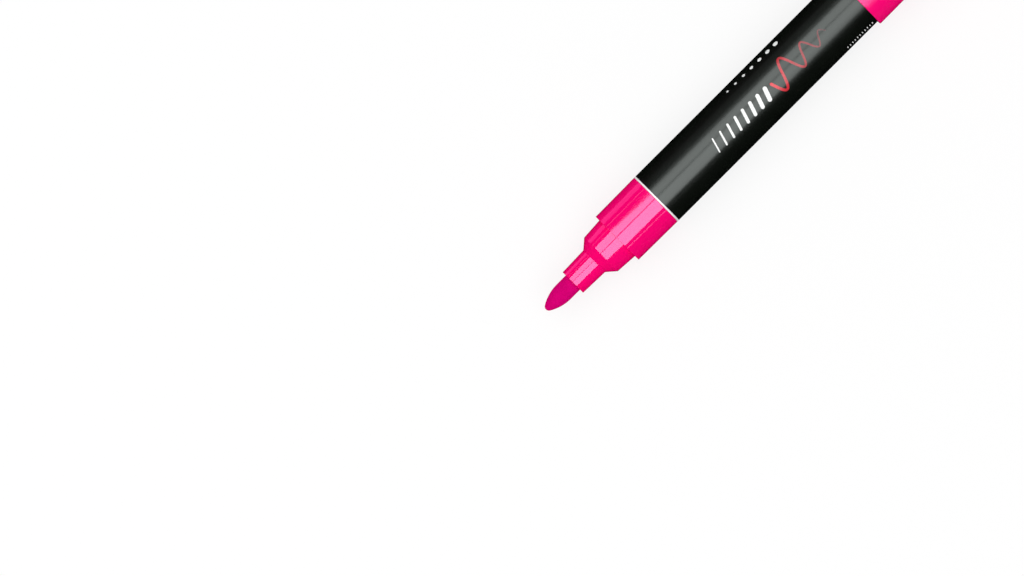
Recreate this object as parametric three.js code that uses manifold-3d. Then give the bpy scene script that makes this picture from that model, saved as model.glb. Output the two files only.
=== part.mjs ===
// A wet-erase marker with a pump valve, its cap pushed on over the tail.
// Millimetres. The marker lies on its side: its axis is X, the nib points to -X, and +Z is up.
import * as THREE from "three";
import { mergeVertices } from "three/addons/utils/BufferGeometryUtils.js";
import Module from "manifold-3d";

const wasm = await Module();
wasm.setup();

// Facets round the axis
const SIDES = 32;
const INNER_SIDES = 24;

// Barrel and its label
const BARREL_DIAMETER = 17;
const BARREL_LENGTH = 91.8;
const BARREL_WALL = 1;
const BARE_RING_LENGTH = 0.5;
const BARE_TAIL_LENGTH = 4;
const TAIL_CHAMFER = 0.4;
const LABEL_THICKNESS = 0.16;
const LABEL_GAP = 0.04;

// Tail plug
const PLUG_FLANGE_THICKNESS = 1.2;
const PLUG_FLANGE_INSET = 0.2;
const PLUG_EDGE_RADIUS = 0.6;
const PLUG_DEPTH = 8;
const PLUG_WALL = 1;

// Front section, from the barrel's mouth to the collar round the nib
const LAND_LENGTH = 15.1;
const LAND_INSET = 0.02;
const LAND_DRAFT = 0.12;
const SHOULDER_STEP = 1.41;
const SHOULDER_LENGTH = 6.3;
const SHOULDER_DRAFT = 0.4;
const SHOULDER_WALL = 1;
const CONE_LENGTH = 2.65;
const COLLAR_LENGTH = 8.3;
const COLLAR_WALL = 1.04;
const COLLAR_DRAFT = 0.25;
const EDGE_CHAMFER = 0.15;
const CAVITY_SETBACK = 0.3;
const NIB_TUBE_WALL = 0.7;
const NIB_TUBE_TO_SEAT = 1;
const AIR_CHANNEL_WIDTH = 0.9;
const AIR_CHANNEL_DEPTH = 0.4;
const SOCKET_FLOOR = 1;
const SPIGOT_WALL = 1;
const SPIGOT_PAST_SNAP = 4.5;
const SEAL_BEAD_HEIGHT = 0.06;
const SNAP_BEAD_HEIGHT = 0.3;
const BEAD_WIDTH = 0.8;

// Nib, with a round point in front and a chisel at the back
const NIB_DIAMETER = 5.6;
const NIB_PROTRUSION = 10.5;
const NIB_POINT_LENGTH = 7;
const NIB_POINT_RADIUS = 1.2;
const CHISEL_EDGE = 1.2;
const CHISEL_LENGTH = 3.6;

// Pump valve
const PRESS_TRAVEL = 2.5;
const SEAT_THICKNESS = 3;
const SEAT_COUNTERBORE = 1;
const SEAT_SEALING_WIDTH = 0.8;
const SHAFT_INSET = 0.6;
const SHAFT_FLOW_GAP = 0.4;
const SHAFT_FIN_WIDTH = 1.2;
const SEAL_THICKNESS = 0.8;
const HEAD_THICKNESS = 1.5;
const PIN_DIAMETER = 3;
const PIN_HOLE_GAP = 0.4;
const PIN_SHORT_OF_FLOOR = 0.6;
const SPRING_LENGTH = 9.4;
const SPRING_WIRE = 0.5;
const SPRING_TURNS = 6;
const SPRING_GAP = 0.4;
const CAGE_WALL = 0.8;
const CAGE_FLOOR = 1.2;
const WINDOW_LENGTH = 7;
const WINDOW_WIDTH = 3.6;

// Mixing balls
const BALL_DIAMETER = 6;
const BALL_SPACING = 0.6;

// Cap and its liner
const CAP_WALL = 0.88;
const CAP_END_WALL = 1.5;
const CAP_DRAFT = 0.25;
const CAP_END_RADIUS = 1.4;
const CAP_MOUTH_CHAMFER = 0.2;
const NIB_TIP_SPACE = 1.6;
const LINER_WALL = 0.8;
const LINER_RIM_LENGTH = 1.2;

// Clearances
const CAP_CLEARANCE = 0.12;
const FIT_CLEARANCE = 0.1;
const NIB_CLEARANCE = 0.15;
const LINER_CLEARANCE = 0.3;
const SEAT_GAP = 0.3;
const SEAM_GAP = 0.05;

// Radii of the barrel and the front section
const barrelRadius = BARREL_DIAMETER / 2;
const recessRadius = barrelRadius - LABEL_THICKNESS - LABEL_GAP;
const boreRadius = recessRadius - BARREL_WALL;
const spigotRadius = boreRadius - FIT_CLEARANCE;
const socketRadius = spigotRadius - SPIGOT_WALL;
const landRearRadius = barrelRadius - LAND_INSET;
const landFrontRadius = landRearRadius - LAND_DRAFT;
const shoulderRearRadius = landFrontRadius - SHOULDER_STEP;
const shoulderFrontRadius = shoulderRearRadius - SHOULDER_DRAFT;
const cavityRadius = shoulderFrontRadius - SHOULDER_WALL;
const nibRadius = NIB_DIAMETER / 2;
const nibBoreRadius = nibRadius + NIB_CLEARANCE;
const nibTubeRadius = nibBoreRadius + NIB_TUBE_WALL;
const collarFrontRadius = nibBoreRadius + COLLAR_WALL;
const collarRearRadius = collarFrontRadius + COLLAR_DRAFT;

// Radii of the valve: the shaft comes from the nib's bore and the cage from the socket
const shaftRadius = nibBoreRadius - SHAFT_INSET;
const seatHoleRadius = shaftRadius + SHAFT_FLOW_GAP;
const headRadius = seatHoleRadius + SEAT_SEALING_WIDTH;
const pinRadius = PIN_DIAMETER / 2;
const springRadius = pinRadius + SPRING_GAP + SPRING_WIRE / 2;
const valveRadius = socketRadius - FIT_CLEARANCE;
const cageBoreRadius = valveRadius - CAGE_WALL;

// Radii of the cap at its mouth
const capBoreRadius = barrelRadius + CAP_CLEARANCE;
const capRadius = capBoreRadius + CAP_WALL;

// Stations along the axis, from the barrel's mouth at x = 0 forwards
const stepX = -LAND_LENGTH;
const shoulderFrontX = stepX - SHOULDER_LENGTH;
const coneFrontX = shoulderFrontX - CONE_LENGTH;
const collarFrontX = coneFrontX - COLLAR_LENGTH;
const nibTipX = collarFrontX - NIB_PROTRUSION;

// Stations of the valve, from the socket's floor backwards
const socketFloorX = stepX + SOCKET_FLOOR;
const seatFrontX = socketFloorX + FIT_CLEARANCE;
const seatRearX = seatFrontX + SEAT_THICKNESS;
const sealFrontX = seatRearX + SEAT_GAP;
const headFrontX = sealFrontX + SEAL_THICKNESS + FIT_CLEARANCE;
const headRearX = headFrontX + HEAD_THICKNESS;
const cageFrontX = seatRearX + FIT_CLEARANCE;
const cageFloorX = headRearX + SPRING_LENGTH + 2 * FIT_CLEARANCE;
const cageRearX = cageFloorX + CAGE_FLOOR;
const pinRearX = cageFloorX - PIN_SHORT_OF_FLOOR;
const snapBeadX = cageRearX + FIT_CLEARANCE;
const spigotRearX = snapBeadX + BEAD_WIDTH + SPIGOT_PAST_SNAP;
const nibTubeRearX = seatFrontX - NIB_TUBE_TO_SEAT;
const nibRearX = seatFrontX - PRESS_TRAVEL - SEAT_GAP;
const shaftFrontX = nibRearX + SEAT_GAP;

// Stations of the tail
const labelFrontX = BARE_RING_LENGTH + LABEL_GAP;
const labelRearX = BARREL_LENGTH - BARE_TAIL_LENGTH;
const plugFrontX = BARREL_LENGTH - PLUG_DEPTH;
const flangeX = BARREL_LENGTH + SEAM_GAP;
const tailX = flangeX + PLUG_FLANGE_THICKNESS;

// Stations of the cap. Its liner stops the tail at the depth at which it stops the step of the
// front section when the cap is on the nib, and follows the front section from there on.
const capMouthX = tailX - LAND_LENGTH;
const linerFrontX = tailX + SEAT_GAP;
const linerShoulderX = linerFrontX + SHOULDER_LENGTH;
const linerCollarX = linerShoulderX + CONE_LENGTH;
const linerWellX = linerCollarX + COLLAR_LENGTH;
const linerFloorX = linerWellX + NIB_PROTRUSION + NIB_TIP_SPACE;
const linerRearX = linerFloorX + LINER_WALL;
const capFloorX = linerRearX + SEAT_GAP;
const capRearX = capFloorX + CAP_END_WALL;

// Points [x, r] along an arc round the point [x, r], with angles in degrees from +X towards +r.
function arc([centreX, centreR], radius, fromDegrees, toDegrees, steps) {
  const points = [];
  for (let i = 0; i <= steps; i++) {
    const angle = THREE.MathUtils.degToRad(THREE.MathUtils.lerp(fromDegrees, toDegrees, i / steps));
    points.push([centreX + radius * Math.cos(angle), centreR + radius * Math.sin(angle)]);
  }
  return points;
}

// A bead with sloping flanks on a wall of radius r, between two stations.
function bead(fromX, toX, r, height) {
  return [
    [fromX, r],
    [THREE.MathUtils.lerp(fromX, toX, 1 / 3), r + height],
    [THREE.MathUtils.lerp(fromX, toX, 2 / 3), r + height],
    [toX, r],
  ];
}

// A profile of points [x, r] turned round the X axis, with one flat facing down.
// It runs towards +X on the outside of the piece and towards -X in a bore. A profile that
// doesn't start on the axis closes on itself.
function revolve(profile, sides = SIDES) {
  const closed = profile[0][1] > 0;
  const points = closed ? [...profile, profile[0]] : profile;
  const outline = points.map(([x, r]) => new THREE.Vector2(r, x));
  return new THREE.LatheGeometry(outline, sides, Math.PI / sides).rotateZ(-Math.PI / 2);
}

// Two crossed bars along the axis, with their edges on a cylinder of the given radius.
function crossedBars(fromX, toX, width, radius) {
  const reach = 2 * Math.sqrt(radius ** 2 - (width / 2) ** 2);
  const upright = new THREE.BoxGeometry(toX - fromX, width, reach);
  const level = new THREE.BoxGeometry(toX - fromX, reach, width);
  return [upright, level].map((box) => box.translate((fromX + toX) / 2, 0, 0));
}

// A polygon of points [x, z] as a plate of the given width across Y.
function plate(points, width) {
  const shape = new THREE.Shape(points.map(([x, z]) => new THREE.Vector2(x, z)));
  const geometry = new THREE.ExtrudeGeometry(shape, { depth: width, bevelEnabled: false });
  return geometry.translate(0, 0, -width / 2).rotateX(Math.PI / 2);
}

function solid(geometry) {
  const bare = geometry.clone();
  bare.deleteAttribute("normal");
  bare.deleteAttribute("uv");
  const merged = mergeVertices(bare);
  return new wasm.Manifold(
    new wasm.Mesh({
      numProp: 3,
      vertProperties: merged.attributes.position.array,
      triVerts: new Uint32Array(merged.index.array),
    }),
  );
}

function geometryOf(manifold) {
  const { vertProperties, triVerts } = manifold.getMesh();
  const geometry = new THREE.BufferGeometry();
  geometry.setAttribute("position", new THREE.BufferAttribute(vertProperties, 3));
  geometry.setIndex(new THREE.BufferAttribute(triVerts, 1));
  geometry.computeVertexNormals();
  return geometry;
}

function cut(body, ...cutters) {
  return geometryOf(cutters.reduce((rest, cutter) => rest.subtract(solid(cutter)), solid(body)));
}

function join(...bodies) {
  return geometryOf(bodies.map(solid).reduce((whole, body) => whole.add(body)));
}

// The barrel is full width only in the bare ring at its mouth: behind it the label lies in a recess.
function barrel() {
  return revolve([
    [0, boreRadius],
    [0, barrelRadius],
    [BARE_RING_LENGTH, barrelRadius],
    [BARE_RING_LENGTH, recessRadius],
    [BARREL_LENGTH - TAIL_CHAMFER, recessRadius],
    [BARREL_LENGTH, recessRadius - TAIL_CHAMFER],
    [BARREL_LENGTH, boreRadius],
  ]);
}

function labelSleeve() {
  return revolve([
    [labelFrontX, barrelRadius - LABEL_THICKNESS],
    [labelFrontX, barrelRadius],
    [labelRearX, barrelRadius],
    [labelRearX, barrelRadius - LABEL_THICKNESS],
  ]);
}

function tailPlug() {
  const flangeRadius = recessRadius - PLUG_FLANGE_INSET;
  const edgeCentre = [tailX - PLUG_EDGE_RADIUS, flangeRadius - PLUG_EDGE_RADIUS];
  return revolve([
    [flangeX, 0],
    [flangeX, spigotRadius - PLUG_WALL],
    [plugFrontX, spigotRadius - PLUG_WALL],
    [plugFrontX, spigotRadius],
    [flangeX, spigotRadius],
    [flangeX, flangeRadius],
    ...arc(edgeCentre, PLUG_EDGE_RADIUS, 90, 0, 3),
    [tailX, 0],
  ]);
}

function frontSection() {
  const moulding = revolve([
    [collarFrontX, nibBoreRadius],
    [collarFrontX, collarFrontRadius - EDGE_CHAMFER],
    [collarFrontX + EDGE_CHAMFER, collarFrontRadius],
    [coneFrontX, collarRearRadius],
    [shoulderFrontX, shoulderFrontRadius],
    [stepX, shoulderRearRadius],
    [stepX, landFrontRadius - EDGE_CHAMFER],
    [stepX + EDGE_CHAMFER, landFrontRadius],
    [-SEAM_GAP, landRearRadius],
    [-SEAM_GAP, spigotRadius],
    ...bead(BEAD_WIDTH, 2 * BEAD_WIDTH, spigotRadius, SEAL_BEAD_HEIGHT),
    ...bead(spigotRearX - 2 * BEAD_WIDTH, spigotRearX - BEAD_WIDTH, spigotRadius, SEAL_BEAD_HEIGHT),
    [spigotRearX, spigotRadius],
    [spigotRearX, socketRadius],
    ...bead(snapBeadX + BEAD_WIDTH, snapBeadX, socketRadius, -SNAP_BEAD_HEIGHT),
    [socketFloorX, socketRadius],
    [socketFloorX, cavityRadius],
    [shoulderFrontX + CAVITY_SETBACK, cavityRadius],
    [shoulderFrontX + CAVITY_SETBACK, nibTubeRadius],
    [nibTubeRearX, nibTubeRadius],
    [nibTubeRearX, nibBoreRadius],
  ]);
  const overrun = 1;
  const channels = crossedBars(
    collarFrontX - overrun,
    nibTubeRearX + overrun,
    AIR_CHANNEL_WIDTH,
    nibBoreRadius + AIR_CHANNEL_DEPTH,
  );
  return cut(moulding, ...channels);
}

// The point is an ogive with a round tip: a large arc runs from the nib's side into a small one.
function nibPoint() {
  const run = NIB_POINT_LENGTH - NIB_POINT_RADIUS;
  const rise = nibRadius - NIB_POINT_RADIUS;
  const largeRadius = (run ** 2 + nibRadius ** 2 - NIB_POINT_RADIUS ** 2) / (2 * rise);
  const largeCentre = [nibTipX + NIB_POINT_LENGTH, nibRadius - largeRadius];
  const meeting = 180 - THREE.MathUtils.radToDeg(Math.atan2(largeRadius - nibRadius, run));
  return [
    ...arc([nibTipX + NIB_POINT_RADIUS, 0], NIB_POINT_RADIUS, 180, meeting, 4),
    ...arc(largeCentre, largeRadius, meeting, 90, 8).slice(1),
  ];
}

function nib() {
  const rod = revolve([...nibPoint(), [nibRearX, nibRadius], [nibRearX, 0]], INNER_SIDES);
  const slope = (nibRadius - CHISEL_EDGE / 2) / CHISEL_LENGTH;
  const overrun = 1;
  const flanks = [1, -1].map((side) =>
    plate(
      [
        [nibRearX + overrun, side * (CHISEL_EDGE / 2 - slope * overrun)],
        [nibRearX - CHISEL_LENGTH - overrun, side * (nibRadius + slope * overrun)],
        [nibRearX + overrun, side * (nibRadius + slope * overrun)],
      ],
      3 * nibRadius,
    ),
  );
  return cut(rod, ...flanks);
}

function valveSeat() {
  return revolve(
    [
      [seatFrontX, seatHoleRadius + SEAT_COUNTERBORE],
      [seatFrontX, valveRadius],
      [seatRearX, valveRadius],
      [seatRearX, seatHoleRadius],
      [seatFrontX + SEAT_COUNTERBORE, seatHoleRadius],
    ],
    INNER_SIDES,
  );
}

// The shaft is a cross of fins, so that ink can pass it in the seat's hole.
function valveStem() {
  const head = revolve(
    [
      [headFrontX, 0],
      [headFrontX, headRadius],
      [headRearX, headRadius],
      [headRearX, pinRadius],
      [pinRearX, pinRadius],
      [pinRearX, 0],
    ],
    INNER_SIDES,
  );
  const headMiddleX = (headFrontX + headRearX) / 2;
  return join(head, ...crossedBars(shaftFrontX, headMiddleX, SHAFT_FIN_WIDTH, shaftRadius));
}

function stemSeal() {
  const rearX = headFrontX - FIT_CLEARANCE;
  const holeRadius = shaftRadius + FIT_CLEARANCE;
  return revolve(
    [
      [sealFrontX, holeRadius],
      [sealFrontX, headRadius],
      [rearX, headRadius],
      [rearX, holeRadius],
    ],
    INNER_SIDES,
  );
}

class Helix extends THREE.Curve {
  constructor(fromX, toX, radius, turns) {
    super();
    Object.assign(this, { fromX, toX, radius, turns });
  }
  getPoint(t, target = new THREE.Vector3()) {
    const angle = 2 * Math.PI * this.turns * t;
    const x = THREE.MathUtils.lerp(this.fromX, this.toX, t);
    return target.set(x, this.radius * Math.cos(angle), this.radius * Math.sin(angle));
  }
}

// The least gap between turns, measured on points half a turn or more apart.
function leastTurnGap(points, stepsPerTurn, wire) {
  let least = Infinity;
  points.forEach((point, i) => {
    for (const other of points.slice(i + stepsPerTurn / 2)) {
      least = Math.min(least, point.distanceTo(other) - wire);
    }
  });
  return least;
}

function valveSpring() {
  const frontX = headRearX + FIT_CLEARANCE + SPRING_WIRE / 2;
  const rearX = cageFloorX - FIT_CLEARANCE - SPRING_WIRE / 2;
  const path = new Helix(frontX, rearX, springRadius, SPRING_TURNS);
  const stepsPerTurn = 8;
  const steps = stepsPerTurn * SPRING_TURNS;
  const gap = leastTurnGap(path.getPoints(steps), stepsPerTurn, SPRING_WIRE);
  console.log("valve_spring: least gap between turns", gap.toFixed(2), "mm");
  const section = new THREE.Shape(
    arc([0, 0], SPRING_WIRE / 2, 0, 288, 4).map(([x, y]) => new THREE.Vector2(x, y)),
  );
  return new THREE.ExtrudeGeometry(section, { steps, extrudePath: path });
}

// The cage guides the stem's pin in its floor, and lets ink in through four windows.
function valveCage() {
  const cup = revolve(
    [
      [cageFrontX, cageBoreRadius],
      [cageFrontX, valveRadius],
      [cageRearX, valveRadius],
      [cageRearX, pinRadius + PIN_HOLE_GAP],
      [cageFloorX, pinRadius + PIN_HOLE_GAP],
      [cageFloorX, cageBoreRadius],
    ],
    INNER_SIDES,
  );
  const windowRearX = cageFloorX - CAGE_WALL;
  const overreach = 2 * valveRadius;
  return cut(cup, ...crossedBars(windowRearX - WINDOW_LENGTH, windowRearX, WINDOW_WIDTH, overreach));
}

function mixingBall() {
  return new THREE.SphereGeometry(BALL_DIAMETER / 2, 20, 12);
}

// The draft narrows the cap's bore and outside alike, evenly from its mouth to its closed end.
function capNarrowing(x) {
  return (CAP_DRAFT * (x - capMouthX)) / (capRearX - capMouthX);
}

function capShell() {
  const endRadius = capRadius - CAP_DRAFT;
  const endCentre = [capRearX - CAP_END_RADIUS, endRadius - CAP_END_RADIUS];
  return revolve([
    [capFloorX, 0],
    [capFloorX, capBoreRadius - capNarrowing(capFloorX)],
    [capMouthX, capBoreRadius],
    [capMouthX, capRadius - CAP_MOUTH_CHAMFER],
    [capMouthX + CAP_MOUTH_CHAMFER, capRadius],
    ...arc(endCentre, CAP_END_RADIUS, 90, 0, 5),
    [capRearX, 0],
  ]);
}

// A stepped thimble, which follows the front section and the nib with a clearance.
function capLiner() {
  const shoulderBore = shoulderRearRadius + LINER_CLEARANCE;
  const collarBore = collarRearRadius + LINER_CLEARANCE;
  const wellBore = nibRadius + 2 * LINER_CLEARANCE;
  const rimRearX = linerFrontX + LINER_RIM_LENGTH;
  const rimRadius = capBoreRadius - capNarrowing(rimRearX) - FIT_CLEARANCE;
  return revolve([
    [linerFloorX, 0],
    [linerFloorX, wellBore],
    [linerWellX, wellBore],
    [linerWellX, collarBore],
    [linerCollarX, collarBore],
    [linerShoulderX, shoulderBore],
    [linerFrontX, shoulderBore],
    [linerFrontX, rimRadius],
    [rimRearX, rimRadius],
    [rimRearX, shoulderBore + LINER_WALL],
    [linerShoulderX, shoulderBore + LINER_WALL],
    [linerCollarX, collarBore + LINER_WALL],
    [linerWellX + LINER_WALL, collarBore + LINER_WALL],
    [linerWellX + LINER_WALL, wellBore + LINER_WALL],
    [linerRearX, wellBore + LINER_WALL],
    [linerRearX, 0],
  ]);
}

const pinkPlastic = { color: 0xf9056e, roughness: 0.22, metalness: 0 };
const blackFilm = { color: 0x0c0d0c, roughness: 0.2, metalness: 0 };
const whitePlastic = { color: 0xf0eeee, roughness: 0.4, metalness: 0 };
const naturalPlastic = { color: 0xe6e7e2, roughness: 0.5, metalness: 0 };
const inkedFelt = { color: 0xd60472, roughness: 0.75, metalness: 0 };
const silicone = { color: 0xd8dadb, roughness: 0.6, metalness: 0 };
const steel = { color: 0xb9bbbd, roughness: 0.25, metalness: 1 };

const marker = new THREE.Group();

function add(name, geometry, look, place = [0, 0, 0]) {
  const mesh = new THREE.Mesh(geometry, new THREE.MeshStandardMaterial(look));
  mesh.name = name;
  mesh.position.set(...place);
  marker.add(mesh);
}

add("barrel", barrel(), whitePlastic);
add("label_sleeve", labelSleeve(), blackFilm);
add("tail_plug", tailPlug(), pinkPlastic);
add("front_section", frontSection(), pinkPlastic);
add("nib", nib(), inkedFelt);
add("valve_seat", valveSeat(), whitePlastic);
add("valve_stem", valveStem(), whitePlastic);
add("stem_seal", stemSeal(), silicone);
add("valve_spring", valveSpring(), steel);
add("valve_cage", valveCage(), whitePlastic);
add("cap_shell", capShell(), pinkPlastic);
add("cap_liner", capLiner(), naturalPlastic);

// The two balls lie at the bottom of the bore, side by side in the middle of the ink chamber.
const chamberMiddleX = (spigotRearX + plugFrontX) / 2;
const ballOffset = (BALL_DIAMETER + BALL_SPACING) / 2;
const boreFloorZ = -boreRadius * Math.cos(Math.PI / SIDES);
const ballZ = boreFloorZ + SEAT_GAP + BALL_DIAMETER / 2;
add("mixing_ball_front", mixingBall(), steel, [chamberMiddleX - ballOffset, 0, ballZ]);
add("mixing_ball_rear", mixingBall(), steel, [chamberMiddleX + ballOffset, 0, ballZ]);

// The origin is in the middle of the marker's length, on its axis.
marker.position.x = -(nibTipX + capRearX) / 2;

export default marker;
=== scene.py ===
# A wet-erase marker lying on a pale floor, with its cap on the tail, seen from above.
# Sizes of the marker are in millimetres, in the CAD model's frame: its axis is X, the nib points to -X
# and the origin is in the middle of its length. Everything handed to Blender is in metres.
import math

import bpy
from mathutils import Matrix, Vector


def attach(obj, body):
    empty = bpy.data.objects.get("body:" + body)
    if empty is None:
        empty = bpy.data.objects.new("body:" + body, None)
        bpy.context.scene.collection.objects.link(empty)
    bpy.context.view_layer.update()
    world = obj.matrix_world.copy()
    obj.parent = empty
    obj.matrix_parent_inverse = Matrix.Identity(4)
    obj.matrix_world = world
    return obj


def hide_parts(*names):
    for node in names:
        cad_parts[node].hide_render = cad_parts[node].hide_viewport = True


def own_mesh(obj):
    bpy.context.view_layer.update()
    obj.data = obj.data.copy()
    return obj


MM = 0.001
SEGMENTS = 192
INNER_SEGMENTS = 96
FILLET_STEPS = 6
FILLET_ROOM = 0.4
SIDE_RING = 0.04
SIDE_RING_ROOM = 0.08
SHARP_ANGLE = 35

# Stations along the axis, towards the nib from the barrel's mouth
MOUTH_X = -41.225
LAND_LENGTH = 15.1
SHOULDER_LENGTH = 6.3
CONE_LENGTH = 2.65
COLLAR_LENGTH = 8.3
NIB_PROTRUSION = 10.5
STEP_X = MOUTH_X - LAND_LENGTH
SHOULDER_X = STEP_X - SHOULDER_LENGTH
CONE_X = SHOULDER_X - CONE_LENGTH
COLLAR_X = CONE_X - COLLAR_LENGTH
NIB_TIP_X = COLLAR_X - NIB_PROTRUSION

# Barrel, label and tail plug
BARREL_LENGTH = 91.8
BARREL_RADIUS = 8.5
RECESS_RADIUS = 8.3
BORE_RADIUS = 7.3
RING_LENGTH = 0.5
LABEL_GAP = 0.04
LABEL_INNER_RADIUS = RECESS_RADIUS + LABEL_GAP
LABEL_FRONT_X = MOUTH_X + RING_LENGTH + LABEL_GAP
LABEL_REAR_X = MOUTH_X + 87.8
BARREL_REAR_X = MOUTH_X + BARREL_LENGTH
TAIL_X = BARREL_REAR_X + 1.25
PLUG_FRONT_X = BARREL_REAR_X - 8
PLUG_FLANGE_RADIUS = 8.1
SPIGOT_RADIUS = 7.2
SOCKET_RADIUS = 6.2
TAIL_CHAMFER = 0.4
PLUG_BORE_RADIUS = SPIGOT_RADIUS - 1
PLUG_GATE_RADII = (1.1, 0.9)
PLUG_GATE_DEPTH = 0.18

# Front section
SEAM_GAP = 0.05
LAND_REAR_RADIUS = 8.48
LAND_FRONT_RADIUS = 8.36
SHOULDER_REAR_RADIUS = 6.95
SHOULDER_FRONT_RADIUS = 6.55
CAVITY_RADIUS = 5.55
COLLAR_REAR_RADIUS = 4.24
COLLAR_FRONT_RADIUS = 3.99
NIB_TUBE_RADIUS = 3.65
NIB_BORE_RADIUS = 2.95
AIR_CHANNEL_WIDTH = 0.9
AIR_CHANNEL_RADIUS = 3.35
NIB_BORE_REACH = 0.2
CAVITY_FRONT_X = SHOULDER_X + 0.3
NIB_TUBE_REAR_X = STEP_X + 0.1
SOCKET_FLOOR_X = STEP_X + 1
SPIGOT_REAR_X = -33.325
BEAD_WIDTH = 0.8
SEAL_BEAD_HEIGHT = 0.06
SNAP_BEAD_HEIGHT = 0.3

# Nib
NIB_RADIUS = 2.8
NIB_REAR_X = -58.025
NIB_POINT_LENGTH = 7
NIB_POINT_RADIUS = 1.2
CHISEL_EDGE = 1.2
CHISEL_LENGTH = 3.6
NIB_TIP_STEPS = 16
NIB_POINT_STEPS = 40
NIB_SIDE_STEPS = 90
FELT_WAVES = ((7, 1.3), (13, -2.9), (29, 4.1))
FELT_DEPTH = 0.0025

# Pump valve, from the floor of the front section's socket backwards
SEAT_FRONT_X = SOCKET_FLOOR_X + 0.1
SEAT_REAR_X = SEAT_FRONT_X + 3
SEAT_HOLE_RADIUS = 2.75
SEAT_COUNTERBORE = 1
SEAL_FRONT_X = SEAT_REAR_X + 0.3
SEAL_REAR_X = SEAL_FRONT_X + 0.8
HEAD_FRONT_X = SEAL_REAR_X + 0.1
HEAD_REAR_X = HEAD_FRONT_X + 1.5
HEAD_RADIUS = 3.55
SHAFT_FRONT_X = NIB_REAR_X + 0.3
SHAFT_RADIUS = 2.35
SEAL_HOLE_RADIUS = SHAFT_RADIUS + 0.1
SHAFT_FIN_WIDTH = 1.2
SHAFT_FIN_STEPS = 6
SHAFT_ROOT_FILLET = 0.25
PIN_RADIUS = 1.5
CAGE_FRONT_X = SEAT_REAR_X + 0.1
CAGE_FLOOR_X = HEAD_REAR_X + 9.6
CAGE_REAR_X = CAGE_FLOOR_X + 1.2
PIN_REAR_X = CAGE_FLOOR_X - 0.6
VALVE_RADIUS = 6.1
CAGE_BORE_RADIUS = 5.3
PIN_HOLE_RADIUS = 1.9
WINDOW_REAR_X = CAGE_FLOOR_X - 0.8
WINDOW_FRONT_X = WINDOW_REAR_X - 7
WINDOW_WIDTH = 3.6
WINDOW_FILLET = 0.6
SNAP_BEAD_X = CAGE_REAR_X + 0.1
SPRING_WIRE_RADIUS = 0.25
SPRING_RADIUS = 2.15
SPRING_FRONT_X = HEAD_REAR_X + 0.1
SPRING_REAR_X = CAGE_FLOOR_X - 0.1
SPRING_TURNS = 6
SPRING_STEPS = 40
SPRING_SIDES = 14
SPRING_CLOSED_PITCH = 0.56
SPRING_CLOSED_TURNS = 0.5

# Mixing balls
BALL_RADIUS = 3
BALL_Z = -3.965
BALL_FRONT_X = 1.325
BALL_REAR_X = 7.925
BALL_STEPS = 48

# Cap and liner
CAP_MOUTH_X = 36.725
CAP_FLOOR_X = 82.575
CAP_REAR_X = 84.075
CAP_BORE_RADIUS = 8.62
CAP_FLOOR_RADIUS = 8.38
CAP_RADIUS = 9.5
CAP_END_RADIUS = 9.25
CAP_END_ROUND = 1.4
CAP_GATE_RADII = (1.3, 1.1)
CAP_GATE_DEPTH = 0.2
LINER_FRONT_X = 52.125
LINER_SHOULDER_X = LINER_FRONT_X + SHOULDER_LENGTH
LINER_COLLAR_X = LINER_SHOULDER_X + CONE_LENGTH
LINER_WELL_X = LINER_COLLAR_X + COLLAR_LENGTH
LINER_FLOOR_X = 81.475
LINER_REAR_X = 82.275
LINER_WALL = 0.8
LINER_RIM_LENGTH = 1.2
LINER_RIM_RADIUS = 8.42
LINER_SHOULDER_BORE = 7.25
LINER_COLLAR_BORE = 4.54
LINER_WELL_BORE = 3.4

# Print on the label: strokes of growing width, a fading wave, dots and fine ticks. Places are along the
# marker and round it, from its top towards -Y. Half widths are of the band of ink.
INK_HEIGHT = 0.012
INK_DEPTH = 0.02
INK_COLUMNS = 8
INK_END_STEPS = 6
WAVE_START_X = 3.6
WAVE_ROUND = 0
WAVE_PERIODS = 3
WAVE_LENGTHS = (9, 5)
WAVE_HEIGHTS = (4.6, 1.1)
WAVE_HALF_WIDTHS = (0.42, 0.18)
WAVE_STEPS = 150
BAR_COUNT = 8
BARS_X = -19.6
BARS_ROUND = 1.2
BAR_PITCH = 2.85
BAR_HEIGHT = 4.4
BAR_LEAN = 1.1
BAR_HALF_WIDTHS = (0.2, 0.62)
BAR_STEPS = 16
DOT_COUNT = 7
DOTS_X = -6.3
DOTS_ROUND = -8.4
DOT_PITCH = 3.1
DOT_RADII = (0.35, 0.8)
DOT_STRETCH = 0.01
TICK_COUNT = 11
TICKS_X = 25.8
TICKS_ROUND = 9.8
TICK_PITCH = 0.95
TICK_HEIGHT = 0.8
TICK_HALF_WIDTH = 0.13
TICK_STEPS = 4

# Camera: a long lens straight above the marker, turned so that the marker rises to the right at 45 degrees.
# The rear edge of the barrel's bare ring lies so many pixels right of the picture's middle and above it.
PHOTO_WIDTH = 1024
BARREL_PIXELS = 61.7
PIXEL = 2 * BARREL_RADIUS / BARREL_PIXELS
RING_REAR_RIGHT_PIXELS = 145.2
RING_REAR_UP_PIXELS = 89.8
CAMERA_TURN = -45
LENS = 800
SENSOR = 36
CLIP_START = 0.1
CLIP_END = 50

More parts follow.
